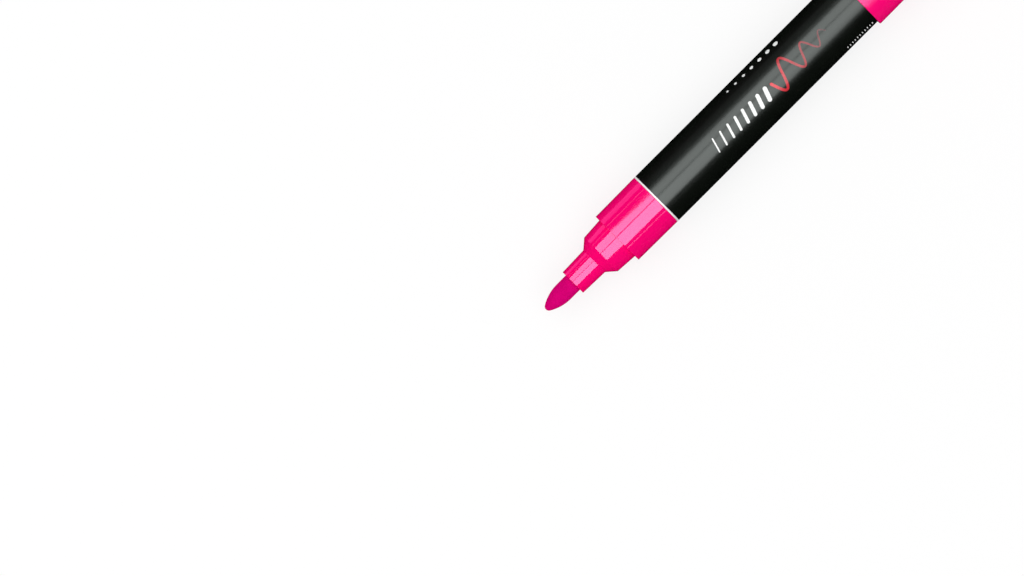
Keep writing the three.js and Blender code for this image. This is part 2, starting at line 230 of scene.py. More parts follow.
# Studio, in metres and watts. Cards are strips of a cylinder round the marker's axis, seen only in
# reflections: where they start and end, in degrees from straight up towards -Y, their radiance in red,
# green and blue, and their lowest and highest X. The cap, the label, the land and the tapered front show the
# cards of their own stretch of X. The side card is pink with the light that the marker throws on it.
# A card that leans starts so many degrees later at its highest X.
CARD_RADIUS = 1.1
CARD_STEPS = 24
CAP_STRETCH = (MM * CAP_MOUTH_X, 1)
LABEL_STRETCH = (MM * LABEL_FRONT_X, 1)
LAND_STRETCH = (-0.1, MM * LABEL_FRONT_X)
FRONT_STRETCH = (-1, -0.1)
CARDS = {
    "softbox_left_label": (-37, -5.6, (3.9, 3.9, 3.9), LABEL_STRETCH),
    "softbox_left_land": (-54.7, -6.4, (4, 4, 4), LAND_STRETCH),
    "softbox_left_front": (-43.7, -6.4, (4, 4, 4), FRONT_STRETCH),
    "softbox_right": (-2.8, 41, (4.5, 4.5, 4.5), (-1, MM * CAP_MOUTH_X)),
    "softbox_cap": (-2.8, 24, (3.9, 3.9, 3.9), CAP_STRETCH),
    "softbox_cap_bright_rim": (24, 35, (2.9, 2.9, 2.9), CAP_STRETCH),
    "softbox_cap_rim": (35, 45, (1.7, 1.7, 1.7), CAP_STRETCH),
    "softbox_cap_dim_rim": (45, 54, (0.7, 0.7, 0.7), CAP_STRETCH),
    "softbox_edge": (-51, -37, (0.7, 0.7, 0.7), LABEL_STRETCH),
    "dim_wall_left": (-80, -51, (0.19, 0.19, 0.19), LABEL_STRETCH),
    "line_left": (-63.1, -61.1, (1.2, 1.2, 1.2), (-1, MM * LABEL_FRONT_X)),
    "line_right": (55.5, 57.5, (3, 3, 3), LAND_STRETCH),
    "side_card": (-104, -79, (1.3, 0.35, 0.9), (-0.35, MM * LABEL_FRONT_X)),
}
CARD_LEANS = {"softbox_left_land": 33}
FLAG_START = -120
FLAG_END = -64
FLAG_INNER_RADIUS = 0.02
WORLD_LIGHT = 0.42
KEY_LIGHT_WATTS = 54
KEY_LIGHT_SIZE = (2.4, 4.4)
KEY_LIGHT_PLACE = (-0.5, 0, 2)
FLOOR_HALF_SIZE = 8
FLOOR_TILTED_HALF = 0.1
FLOOR_WHITE_SHARE = 0.8

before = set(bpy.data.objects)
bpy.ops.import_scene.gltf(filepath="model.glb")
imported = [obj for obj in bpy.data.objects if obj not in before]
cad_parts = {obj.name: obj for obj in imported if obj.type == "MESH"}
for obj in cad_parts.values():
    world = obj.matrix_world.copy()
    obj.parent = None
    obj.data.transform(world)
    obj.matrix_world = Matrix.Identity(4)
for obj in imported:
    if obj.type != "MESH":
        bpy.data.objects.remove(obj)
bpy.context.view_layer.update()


def linear(red, green, blue):
    """A colour written in sRGB, 0 to 255, as the linear colour that shaders use."""
    def channel(value):
        value /= 255
        return value / 12.92 if value <= 0.04045 else ((value + 0.055) / 1.055) ** 2.4
    return (channel(red), channel(green), channel(blue), 1)


def mix(pair, share):
    return pair[0] + (pair[1] - pair[0]) * share


# Profiles and meshes

def arc(centre, radius, start, end, steps):
    """Points (x, r) on an arc, with its angles in degrees from +X towards +r."""
    points = []
    for i in range(steps + 1):
        angle = math.radians(start + (end - start) * i / steps)
        points.append((centre[0] + radius * math.cos(angle), centre[1] + radius * math.sin(angle)))
    return points


def fillet(before, corner, after, radius):
    """The corner rounded with the given radius, or with the most that its two sides have room for.
    A point close to each end of the curve keeps the shading of the straight sides flat."""
    corner = Vector(corner[:2])
    to_before = Vector(before[:2]) - corner
    to_after = Vector(after[:2]) - corner
    half = to_before.angle(to_after) / 2
    room = min(to_before.length, to_after.length)
    to_before.normalize()
    to_after.normalize()
    reach = min(radius / math.tan(half), FILLET_ROOM * room)
    ring = reach + min(SIDE_RING, SIDE_RING_ROOM * room)
    centre = corner + (to_before + to_after).normalized() * reach / math.cos(half)
    first = corner + to_before * reach - centre
    last = corner + to_after * reach - centre
    points = [tuple(corner + to_before * ring)]
    for i in range(FILLET_STEPS + 1):
        spoke = first.lerp(last, i / FILLET_STEPS)
        points.append(tuple(centre + spoke.normalized() * first.length))
    points.append(tuple(corner + to_after * ring))
    return points


def bead(start_x, end_x, radius, height):
    """A bead with sloping flanks on a wall of the given radius."""
    return [
        (start_x, radius, 0.1),
        (mix((start_x, end_x), 1 / 3), radius + height, 0.2),
        (mix((start_x, end_x), 2 / 3), radius + height, 0.2),
        (end_x, radius, 0.1),
    ]


def gate_mark(x, radii, depth):
    """The shallow round mark that the mould's gate leaves in the middle of a face at x."""
    return [(x, radii[0], 0.1), (x - depth, radii[1], 0.1), (x - depth, 0)]


def rounded(profile):
    """A profile of points (x, r) or (x, r, fillet radius), with its corners rounded."""
    points = []
    closed = profile[0][1] > 0
    count = len(profile)
    for i, point in enumerate(profile):
        at_end = not closed and i in (0, count - 1)
        if len(point) == 3 and not at_end:
            points.extend(fillet(profile[i - 1], point, profile[(i + 1) % count], point[2]))
        else:
            points.append(point[:2])
    return points


def finish_mesh(name, vertices, faces, material):
    """A smooth-shaded object with sharp edges kept, from points in millimetres."""
    mesh = bpy.data.meshes.new(name)
    mesh.from_pydata([[MM * c for c in v] for v in vertices], [], faces)
    mesh.validate()
    mesh.shade_smooth()
    mesh.set_sharp_from_angle(angle=math.radians(SHARP_ANGLE))
    mesh.materials.append(material)
    piece = bpy.data.objects.new(name, mesh)
    bpy.context.scene.collection.objects.link(piece)
    return piece


def turned(name, profile, material, segments=SEGMENTS, shape=None):
    """A profile turned round the X axis. It runs towards +X outside and towards -X in a bore.
    A profile that starts and ends on the axis is closed by it, and any other closes on itself.
    shape(x, y, z) moves single points."""
    closed = profile[0][1] > 0
    vertices, rings = [], []
    for x, r in profile:
        if r == 0:
            rings.append([len(vertices)] * segments)
            vertices.append(shape(x, 0, 0) if shape else (x, 0, 0))
            continue
        rings.append(list(range(len(vertices), len(vertices) + segments)))
        for i in range(segments):
            angle = 2 * math.pi * i / segments
            point = (x, r * math.cos(angle), r * math.sin(angle))
            vertices.append(shape(*point) if shape else point)
    faces = []
    pairs = list(zip(rings, rings[1:]))
    if closed:
        pairs.append((rings[-1], rings[0]))
    for first, second in pairs:
        for i in range(segments):
            j = (i + 1) % segments
            corners = [first[i], first[j], second[j], second[i]]
            faces.append([c for k, c in enumerate(corners) if c != corners[k - 1]])
    return finish_mesh(name, vertices, faces, material)


def prism(name, outline, low, high, place, material):
    """A closed outline of points (u, v), drawn out from w = low to high. place(u, v, w) puts it in space."""
    count = len(outline)
    vertices = [place(u, v, w) for w in (low, high) for u, v in outline]
    faces = [tuple(reversed(range(count))), tuple(range(count, 2 * count))]
    for i in range(count):
        j = (i + 1) % count
        faces.append((i, j, count + j, count + i))
    return finish_mesh(name, vertices, faces, material)


def combined(piece, operation, others):
    """The piece joined with or cut by others, which are used up."""
    for other in others:
        modifier = piece.modifiers.new("combined", "BOOLEAN")
        modifier.object = other
        modifier.operation = operation
        modifier.solver = "EXACT"
    depsgraph = bpy.context.evaluated_depsgraph_get()
    mesh = bpy.data.meshes.new_from_object(piece.evaluated_get(depsgraph))
    mesh.set_sharp_from_angle(angle=math.radians(SHARP_ANGLE))
    piece.modifiers.clear()
    piece.data = mesh
    for other in others:
        bpy.data.objects.remove(other)
    return piece


def stand_for(piece, body, slot, *replaced):
    """The piece moves with a body and hides the CAD nodes it stands for. slot is not used."""
    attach(piece, body)
    if replaced:
        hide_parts(*replaced)
    return piece


# Materials

class Shader:
    """A node material with a Principled shader, and the few kinds of node that the materials use."""

    def __init__(self, name, color, **settings):
        self.material = bpy.data.materials.new(name)
        self.material.use_nodes = True
        self.tree = self.material.node_tree
        self.principled = self.tree.nodes["Principled BSDF"]
        self.material.diffuse_color = color
        self.set("Base Color", color)
        for key, value in settings.items():
            self.set(key.replace("_", " ").title().replace("Ior", "IOR"), value)

    def set(self, socket, value):
        self.principled.inputs[socket].default_value = value

    def node(self, kind, **inputs):
        made = self.tree.nodes.new(kind)
        for key, value in inputs.items():
            self.feed(made.inputs[key.replace("_", " ")], value)
        return made

    def feed(self, socket, value):
        if isinstance(value, bpy.types.NodeSocket):
            self.tree.links.new(value, socket)
        else:
            socket.default_value = value

    def place(self, scale=(1, 1, 1)):
        """Points on the object, in metres, stretched by the given scale."""
        coordinates = self.node("ShaderNodeTexCoord")
        mapping = self.node("ShaderNodeMapping", Vector=coordinates.outputs["Object"], Scale=scale)
        return mapping.outputs["Vector"]

    def noise(self, scale, detail=3, roughness=0.5, stretch=(1, 1, 1)):
        made = self.node(
            "ShaderNodeTexNoise", Vector=self.place(stretch), Scale=scale, Detail=detail, Roughness=roughness
        )
        return made.outputs["Fac"]

    def spread(self, value, low, high, start=0.3, end=0.7):
        """A value from start to end, spread over low to high."""
        made = self.node("ShaderNodeMapRange", Value=value)
        for key, number in (("From Min", start), ("From Max", end), ("To Min", low), ("To Max", high)):
            made.inputs[key].default_value = number
        return made.outputs["Result"]

    def blend(self, factor, first, second):
        made = self.tree.nodes.new("ShaderNodeMix")
        made.data_type = "RGBA"
        self.feed(made.inputs["Factor"], factor)
        self.feed(made.inputs["A"], first)
        self.feed(made.inputs["B"], second)
        return made.outputs["Result"]

    def bump(self, height, distance, strength=1, onto=None):
        made = self.node("ShaderNodeBump", Height=height, Distance=distance, Strength=strength)
        if onto is not None:
            self.feed(made.inputs["Normal"], onto)
        return made.outputs["Normal"]

    def use(self, socket, value):
        self.feed(self.principled.inputs[socket], value)
        return self


def moulded_plastic(name, color, shade, roughness, grain, grain_depth, **settings):
    """Moulded plastic: faint flow streaks along the axis, a fine grain and uneven polish."""
    shader = Shader(name, color, **settings)
    streaks = shader.noise(900, 4, 0.6, (0.08, 1, 1))
    cloud = shader.noise(160, 3)
    shader.use("Base Color", shader.blend(shader.spread(cloud, 0, 0.6), color, shade))
    shader.use("Roughness", shader.spread(streaks, roughness * 0.8, roughness * 1.25))
    fine = shader.bump(shader.noise(grain, 2), grain_depth)
    shader.use("Normal", fine)
    return shader.material


def label_film():
    """Glossy black film, with faint waviness from the wrap and hairline scuffs."""
    color = linear(10, 13, 10)
    shader = Shader("black_film", color, specular_tint=(0.93, 1, 0.97, 1))
    scuffs = shader.noise(2600, 5, 0.7, (0.03, 1, 1))
    cloud = shader.noise(220, 2)
    shader.use("Base Color", shader.blend(shader.spread(cloud, 0, 1), color, linear(12, 16, 12)))
    shader.use("Roughness", shader.spread(scuffs, 0.17, 0.25))
    shader.use("Normal", shader.bump(shader.noise(120, 2, 0.5, (0.2, 1, 1)), 0.00003))
    return shader.material


def felt():
    """Bonded fibre soaked with ink: fibres along the nib and pores between them."""
    wet = linear(205, 2, 108)
    dry = linear(215, 4, 118)
    deep = linear(181, 2, 95)
    shader = Shader("inked_felt", wet, specular_ior_level=0)
    fibres = shader.noise(5200, 4, 0.65, (0.1, 1, 1))
    patches = shader.noise(420, 3)
    pores = shader.noise(3000, 3, 0.7)
    base = shader.blend(shader.spread(patches, 0, 1), wet, dry)
    shader.use("Base Color", shader.blend(shader.spread(pores, 0, 0.8, 0.48, 0.7), base, deep))
    shader.use("Roughness", shader.spread(fibres, 0.62, 0.9))
    coarse = shader.bump(fibres, 0.00006)
    shader.use("Normal", shader.bump(pores, 0.00005, 1, coarse))
    return shader.material


def rubber_seal():
    shader = Shader("silicone", linear(216, 218, 219), subsurface_weight=0.15)
    shader.set("Subsurface Radius", (0.001, 0.001, 0.001))
    shader.use("Roughness", shader.spread(shader.noise(700, 3), 0.5, 0.7))
    shader.use("Normal", shader.bump(shader.noise(3500, 2), 0.00001))
    return shader.material


def bright_steel():
    shader = Shader("steel", linear(206, 208, 211), metallic=1)
    lines = shader.noise(4000, 4, 0.7, (1, 0.15, 0.15))
    shader.use("Roughness", shader.spread(lines, 0.16, 0.3))
    shader.use("Normal", shader.bump(lines, 0.000003))
    return shader.material


def print_ink(name, color, gaps, far_color=None):
    """Screen-printed ink under the film's varnish, thin in specks, fading along the marker to a second
    colour if it has one. gaps says how far the film shows through the specks."""
    shader = Shader(name, color)
    specks = shader.noise(2400, 4, 0.7, (0.5, 1, 1))
    tint = color
    if far_color:
        position = shader.node("ShaderNodeSeparateXYZ", Vector=shader.place())
        length = WAVE_PERIODS * sum(WAVE_LENGTHS) / 2
        along = shader.spread(position.outputs["X"], 0, 1, MM * WAVE_START_X, MM * (WAVE_START_X + length))
        tint = shader.blend(along, color, far_color)
    film = linear(30, 32, 30)
    shader.use("Base Color", shader.blend(shader.spread(specks, 0, gaps, 0.5, 0.68), tint, film))
    shader.use("Roughness", shader.spread(specks, 0.2, 0.3))
    shader.use("Normal", shader.bump(specks, 0.000004))
    return shader.material


pink_gloss = moulded_plastic(
    "pink_gloss", linear(255, 3, 116), linear(250, 3, 110), 0.06, 1500, 0.0000006,
    specular_ior_level=1, specular_tint=(1, 0.6, 1, 1)
)
pink_satin = moulded_plastic(
    "pink_satin", linear(255, 3, 118), linear(250, 3, 112), 0.14, 2600, 0.000002,
    specular_ior_level=0.65, specular_tint=(1, 0.6, 1, 1)
)
white_plastic = moulded_plastic(
    "white_plastic", linear(242, 240, 241), linear(234, 233, 234), 0.3, 1800, 0.000003
)
natural_plastic = moulded_plastic(
    "natural_plastic", linear(230, 231, 226), linear(220, 222, 216), 0.42, 1600, 0.000004
)
black_film = label_film()
inked_felt = felt()
silicone = rubber_seal()
steel = bright_steel()
white_print = print_ink("white_print", linear(244, 246, 245), 0.25)
red_print = print_ink("red_print", linear(214, 26, 46), 0.6, linear(58, 24, 26))


# Pieces. The third number of a profile's point is the radius of the fillet there.

def front_section():
    """Stepped moulding round the nib, with four air channels cut into the nib's bore."""
    profile = rounded([
        (COLLAR_X, NIB_BORE_RADIUS, 0.12),
        (COLLAR_X, COLLAR_FRONT_RADIUS, 0.1),
        (CONE_X, COLLAR_REAR_RADIUS, 0.5),
        (SHOULDER_X, SHOULDER_FRONT_RADIUS, 0.25),
        (STEP_X, SHOULDER_REAR_RADIUS, 0.03),
        (STEP_X, LAND_FRONT_RADIUS, 0.03),
        (MOUTH_X - SEAM_GAP, LAND_REAR_RADIUS, 0.12),
        (MOUTH_X - SEAM_GAP, SPIGOT_RADIUS, 0.1),
        *bead(MOUTH_X + BEAD_WIDTH, MOUTH_X + 2 * BEAD_WIDTH, SPIGOT_RADIUS, SEAL_BEAD_HEIGHT),
        *bead(SPIGOT_REAR_X - 2 * BEAD_WIDTH, SPIGOT_REAR_X - BEAD_WIDTH, SPIGOT_RADIUS, SEAL_BEAD_HEIGHT),
        (SPIGOT_REAR_X, SPIGOT_RADIUS, 0.25),
        (SPIGOT_REAR_X, SOCKET_RADIUS, 0.15),
        *bead(SNAP_BEAD_X + BEAD_WIDTH, SNAP_BEAD_X, SOCKET_RADIUS, -SNAP_BEAD_HEIGHT),
        (SOCKET_FLOOR_X, SOCKET_RADIUS, 0.1),
        (SOCKET_FLOOR_X, CAVITY_RADIUS, 0.1),
        (CAVITY_FRONT_X, CAVITY_RADIUS, 0.3),
        (CAVITY_FRONT_X, NIB_TUBE_RADIUS, 0.3),
        (NIB_TUBE_REAR_X, NIB_TUBE_RADIUS, 0.1),
        (NIB_TUBE_REAR_X, NIB_BORE_RADIUS, 0.1),
    ])

    def channels(x, y, z):
        radius = math.hypot(y, z)
        across = min(abs(y), abs(z))
        if radius > NIB_BORE_RADIUS + NIB_BORE_REACH or across > AIR_CHANNEL_WIDTH / 2:
            return x, y, z
        scale = AIR_CHANNEL_RADIUS / NIB_BORE_RADIUS
        return x, y * scale, z * scale

    return turned("front_section_fine", profile, pink_gloss, shape=channels)


def nib():
    """Bullet point in front, chisel behind, and fibres that leave the surface slightly uneven."""
    run = NIB_POINT_LENGTH - NIB_POINT_RADIUS
    rise = NIB_RADIUS - NIB_POINT_RADIUS
    large = (run ** 2 + NIB_RADIUS ** 2 - NIB_POINT_RADIUS ** 2) / (2 * rise)
    meeting = 180 - math.degrees(math.atan2(large - NIB_RADIUS, run))
    tip = arc((NIB_TIP_X + NIB_POINT_RADIUS, 0), NIB_POINT_RADIUS, 180, meeting, NIB_TIP_STEPS)
    side_start = NIB_TIP_X + NIB_POINT_LENGTH
    point = arc((side_start, NIB_RADIUS - large), large, meeting, 90, NIB_POINT_STEPS)
    tip[0] = (NIB_TIP_X, 0)
    side = [
        (side_start + (NIB_REAR_X - side_start) * i / NIB_SIDE_STEPS, NIB_RADIUS)
        for i in range(1, NIB_SIDE_STEPS + 1)
    ]
    profile = tip + point[1:] + side + [(NIB_REAR_X, NIB_RADIUS * 0.5), (NIB_REAR_X, 0)]
    slope = (NIB_RADIUS - CHISEL_EDGE / 2) / CHISEL_LENGTH

    def fibres(x, y, z):
        angle = math.atan2(z, y)
        wave = sum(math.sin(round_count * angle + pitch * x) for round_count, pitch in FELT_WAVES)
        scale = 1 - FELT_DEPTH * (1 + wave / len(FELT_WAVES))
        half = CHISEL_EDGE / 2 + slope * (NIB_REAR_X - x)
        return x, y * scale, max(-half, min(half, z * scale))

    return turned("nib_felt", profile, inked_felt, shape=fibres)


def valve_seat():
    profile = rounded([
        (SEAT_FRONT_X, SEAT_HOLE_RADIUS + SEAT_COUNTERBORE, 0.1),
        (SEAT_FRONT_X, VALVE_RADIUS, 0.2),
        (SEAT_REAR_X, VALVE_RADIUS, 0.2),
        (SEAT_REAR_X, SEAT_HOLE_RADIUS, 0.15),
        (SEAT_FRONT_X + SEAT_COUNTERBORE, SEAT_HOLE_RADIUS, 0.1),
    ])
    return turned("valve_seat_fine", profile, white_plastic, INNER_SEGMENTS)


def valve_stem():
    """A head with a guide pin behind it and a shaft of four fins in front, which lets ink pass."""
    head = turned("valve_stem_fine", rounded([
        (HEAD_FRONT_X, 0),
        (HEAD_FRONT_X, HEAD_RADIUS, 0.2),
        (HEAD_REAR_X, HEAD_RADIUS, 0.2),
        (HEAD_REAR_X, PIN_RADIUS, 0.15),
        (PIN_REAR_X, PIN_RADIUS, 0.35),
        (PIN_REAR_X, 0),
    ]), white_plastic, INNER_SEGMENTS)
    half = SHAFT_FIN_WIDTH / 2
    edge = math.degrees(math.asin(half / SHAFT_RADIUS))
    fin = arc((0, 0), SHAFT_RADIUS, -edge, edge, SHAFT_FIN_STEPS)
    root = fillet(fin[-1], (half, half), (half, fin[-1][0]), SHAFT_ROOT_FILLET)
    outline = []
    for turn in ((1, 0), (0, 1), (-1, 0), (0, -1)):
        outline += [(turn[0] * y - turn[1] * z, turn[1] * y + turn[0] * z) for y, z in fin + root]
    middle = (HEAD_FRONT_X + HEAD_REAR_X) / 2
    shaft = prism("valve_shaft", outline, SHAFT_FRONT_X, middle, lambda y, z, x: (x, y, z), white_plastic)
    return combined(head, "UNION", [shaft])


def stem_seal():
    profile = rounded([
        (SEAL_FRONT_X, SEAL_HOLE_RADIUS, 0.15),
        (SEAL_FRONT_X, HEAD_RADIUS, 0.3),
        (SEAL_REAR_X, HEAD_RADIUS, 0.15),
        (SEAL_REAR_X, SEAL_HOLE_RADIUS, 0.15),
    ])
    return turned("stem_seal_fine", profile, silicone, INNER_SEGMENTS)


def valve_spring():
    """Wire coil with closed ends, from the stem's head to the cage's floor."""
    steps = SPRING_TURNS * SPRING_STEPS
    turns = [SPRING_TURNS * i / steps for i in range(steps + 1)]
    opening = []
    for turn in turns:
        open_share = (min(turn, SPRING_TURNS - turn) - SPRING_CLOSED_TURNS) / SPRING_CLOSED_TURNS
        opening.append(min(1, max(0, open_share)))
    length = SPRING_REAR_X - SPRING_FRONT_X - 2 * SPRING_WIRE_RADIUS
    spare = length - SPRING_CLOSED_PITCH * SPRING_TURNS
    vertices, faces = [], []
    for i, turn in enumerate(turns):
        opened = (sum(opening[:i]) + sum(opening[1:i + 1])) / (sum(opening[:-1]) + sum(opening[1:]))
        x = SPRING_FRONT_X + SPRING_WIRE_RADIUS + SPRING_CLOSED_PITCH * turn + spare * opened
        out = Vector((0, math.cos(2 * math.pi * turn), math.sin(2 * math.pi * turn)))
        rise = SPRING_CLOSED_PITCH + spare * opening[i] * steps / SPRING_TURNS / sum(opening)
        ahead = Vector((rise / (2 * math.pi * SPRING_RADIUS), -out.z, out.y)).normalized()
        for k in range(SPRING_SIDES):
            angle = 2 * math.pi * k / SPRING_SIDES
            spoke = out * math.cos(angle) + ahead.cross(out) * math.sin(angle)
            vertices.append(Vector((x, 0, 0)) + out * SPRING_RADIUS + spoke * SPRING_WIRE_RADIUS)
    for i in range(steps):
        for k in range(SPRING_SIDES):
            a = i * SPRING_SIDES + k
            b = i * SPRING_SIDES + (k + 1) % SPRING_SIDES
            faces.append((a, b, b + SPRING_SIDES, a + SPRING_SIDES))
    faces.append(tuple(reversed(range(SPRING_SIDES))))
    faces.append(tuple(range(steps * SPRING_SIDES, (steps + 1) * SPRING_SIDES)))
    return finish_mesh("valve_spring_fine", vertices, faces, steel)


def valve_cage():
    """A cup with four windows, whose floor guides the stem's pin."""
    cup = turned("valve_cage_fine", rounded([
        (CAGE_FRONT_X, CAGE_BORE_RADIUS, 0.15),
        (CAGE_FRONT_X, VALVE_RADIUS, 0.2),
        (CAGE_REAR_X, VALVE_RADIUS, 0.35),
        (CAGE_REAR_X, PIN_HOLE_RADIUS, 0.2),
        (CAGE_FLOOR_X, PIN_HOLE_RADIUS, 0.2),
        (CAGE_FLOOR_X, CAGE_BORE_RADIUS, 0.3),
    ]), white_plastic, INNER_SEGMENTS)
    half = WINDOW_WIDTH / 2
    corners = [(WINDOW_FRONT_X, -half), (WINDOW_REAR_X, -half), (WINDOW_REAR_X, half), (WINDOW_FRONT_X, half)]
    outline = []
    for i, corner in enumerate(corners):
        outline += fillet(corners[i - 1], corner, corners[(i + 1) % 4], WINDOW_FILLET)
    reach = 2 * VALVE_RADIUS
    upright = prism("upright_windows", outline, -reach, reach, lambda x, y, z: (x, y, z), white_plastic)
    level = prism("level_windows", outline, -reach, reach, lambda x, z, y: (x, -y, z), white_plastic)
    return combined(cup, "DIFFERENCE", [upright, level])


def mixing_ball(name, x):
    """A polished ball at the bottom of the bore."""
    profile = arc((x, 0), BALL_RADIUS, 180, 0, BALL_STEPS)
    profile[0] = (x - BALL_RADIUS, 0)
    profile[-1] = (x + BALL_RADIUS, 0)
    return turned(name, profile, steel, INNER_SEGMENTS, lambda x, y, z: (x, y, z + BALL_Z))


def barrel():
    profile = rounded([
        (MOUTH_X, BORE_RADIUS, 0.15),
        (MOUTH_X, BARREL_RADIUS, 0.06),
        (MOUTH_X + RING_LENGTH, BARREL_RADIUS, 0.05),
        (MOUTH_X + RING_LENGTH, RECESS_RADIUS),
        (BARREL_REAR_X - TAIL_CHAMFER, RECESS_RADIUS, 0.3),
        (BARREL_REAR_X, RECESS_RADIUS - TAIL_CHAMFER, 0.2),
        (BARREL_REAR_X, BORE_RADIUS, 0.2),
    ])
    return turned("barrel_tube", profile, white_plastic)


def label():
    profile = rounded([
        (LABEL_FRONT_X, LABEL_INNER_RADIUS),
        (LABEL_FRONT_X, BARREL_RADIUS, 0.04),
        (LABEL_REAR_X, BARREL_RADIUS, 0.04),
        (LABEL_REAR_X, LABEL_INNER_RADIUS),
    ])
    return turned("label_film", profile, black_film)


def tail_plug():
    """Cup-shaped plug with a rounded flange and the moulding's gate mark in the middle."""
    profile = rounded([
        (BARREL_REAR_X + SEAM_GAP, 0),
        (BARREL_REAR_X + SEAM_GAP, PLUG_BORE_RADIUS, 0.3),
        (PLUG_FRONT_X, PLUG_BORE_RADIUS, 0.2),
        (PLUG_FRONT_X, SPIGOT_RADIUS, 0.4),
        (BARREL_REAR_X + SEAM_GAP, SPIGOT_RADIUS, 0.1),
        (BARREL_REAR_X + SEAM_GAP, PLUG_FLANGE_RADIUS, 0.1),
        (TAIL_X, PLUG_FLANGE_RADIUS, 0.6),
        *gate_mark(TAIL_X, PLUG_GATE_RADII, PLUG_GATE_DEPTH),
    ])
    return turned("tail_plug_fine", profile, pink_gloss)


def cap_shell():
    """Slightly tapered cap with a rounded mouth, a rounded flat end and the gate mark in its middle."""
    profile = rounded([
        (CAP_FLOOR_X, 0),
        (CAP_FLOOR_X, CAP_FLOOR_RADIUS, 0.5),
        (CAP_MOUTH_X, CAP_BORE_RADIUS, 0.12),
        (CAP_MOUTH_X, CAP_RADIUS, 0.28),
        (CAP_REAR_X, CAP_END_RADIUS, CAP_END_ROUND),
        *gate_mark(CAP_REAR_X, CAP_GATE_RADII, CAP_GATE_DEPTH),
    ])
    return turned("cap_shell_fine", profile, pink_satin)


def cap_liner():
    profile = rounded([
        (LINER_FLOOR_X, 0),
        (LINER_FLOOR_X, LINER_WELL_BORE, 1),
        (LINER_WELL_X, LINER_WELL_BORE, 0.2),
        (LINER_WELL_X, LINER_COLLAR_BORE, 0.2),
        (LINER_COLLAR_X, LINER_COLLAR_BORE, 0.4),
        (LINER_SHOULDER_X, LINER_SHOULDER_BORE, 0.3),
        (LINER_FRONT_X, LINER_SHOULDER_BORE, 0.3),
        (LINER_FRONT_X, LINER_RIM_RADIUS, 0.15),
        (LINER_FRONT_X + LINER_RIM_LENGTH, LINER_RIM_RADIUS, 0.15),
        (LINER_FRONT_X + LINER_RIM_LENGTH, LINER_SHOULDER_BORE + LINER_WALL, 0.2),
        (LINER_SHOULDER_X, LINER_SHOULDER_BORE + LINER_WALL, 0.3),
        (LINER_COLLAR_X, LINER_COLLAR_BORE + LINER_WALL, 0.4),
        (LINER_WELL_X + LINER_WALL, LINER_COLLAR_BORE + LINER_WALL, 0.2),
        (LINER_WELL_X + LINER_WALL, LINER_WELL_BORE + LINER_WALL, 0.2),
        (LINER_REAR_X, LINER_WELL_BORE + LINER_WALL, 1.4),
        (LINER_REAR_X, 0),
    ])
    return turned("cap_liner_fine", profile, natural_plastic)


def band(path, half_widths):
    """A raised band of ink with round ends along a path of points (x, distance round the label)."""
    path = [Vector(point) for point in path]
    first = (path[1] - path[0]).normalized()
    last = (path[-1] - path[-2]).normalized()
    stations = []
    for i in range(INK_END_STEPS, 0, -1):
        turn = math.pi / 2 * i / (INK_END_STEPS + 0.5)
        reach = half_widths[0] * math.sin(turn)
        stations.append((path[0] - first * reach, first, half_widths[0] * math.cos(turn)))
    for i, point in enumerate(path):
        ahead = path[min(i + 1, len(path) - 1)] - path[max(i - 1, 0)]
        stations.append((point, ahead.normalized(), half_widths[i]))
    for i in range(1, INK_END_STEPS + 1):
        turn = math.pi / 2 * i / (INK_END_STEPS + 0.5)
        reach = half_widths[-1] * math.sin(turn)
        stations.append((path[-1] + last * reach, last, half_widths[-1] * math.cos(turn)))

    vertices = []
    for radius in (BARREL_RADIUS + INK_HEIGHT, BARREL_RADIUS - INK_DEPTH):
        for point, ahead, half_width in stations:
            for column in range(INK_COLUMNS + 1):
                offset = half_width * (2 * column / INK_COLUMNS - 1)
                x = point.x - ahead.y * offset
                angle = (point.y + ahead.x * offset) / BARREL_RADIUS
                vertices.append((x, -radius * math.sin(angle), radius * math.cos(angle)))

    rows = len(stations)
    width = INK_COLUMNS + 1
    below = rows * width
    faces = []
    for row in range(rows - 1):
        for column in range(INK_COLUMNS):
            a = row * width + column
            faces.append((a, a + 1, a + width + 1, a + width))
            faces.append((below + a, below + a + width, below + a + width + 1, below + a + 1))
        a = row * width
        b = a + INK_COLUMNS
        faces.append((a, a + width, below + a + width, below + a))
        faces.append((b, below + b, below + b + width, b + width))
    for column in range(INK_COLUMNS):
        a = column
        b = (rows - 1) * width + column
        faces.append((a, below + a, below + a + 1, a + 1))
        faces.append((b, b + 1, below + b + 1, below + b))
    return vertices, faces


def printed(name, bands, material):
    vertices, faces = [], []
    for path, half_widths in bands:
        points, sides = band(path, half_widths)
        faces += [tuple(len(vertices) + corner for corner in side) for side in sides]
        vertices += points
    return finish_mesh(name, vertices, faces, material)


def wave_print():
    """A chalky wave that gets shorter, lower and thinner as it fades."""
    path, half_widths = [], []
    for i in range(WAVE_STEPS + 1):
        share = i / WAVE_STEPS
        turns = WAVE_PERIODS * share
        x = WAVE_START_X + turns * mix(WAVE_LENGTHS, share / 2)
        path.append((x, WAVE_ROUND + mix(WAVE_HEIGHTS, share) * math.sin(2 * math.pi * turns)))
        half_widths.append(mix(WAVE_HALF_WIDTHS, share))
    return printed("label_print_wave", [(path, half_widths)], red_print)


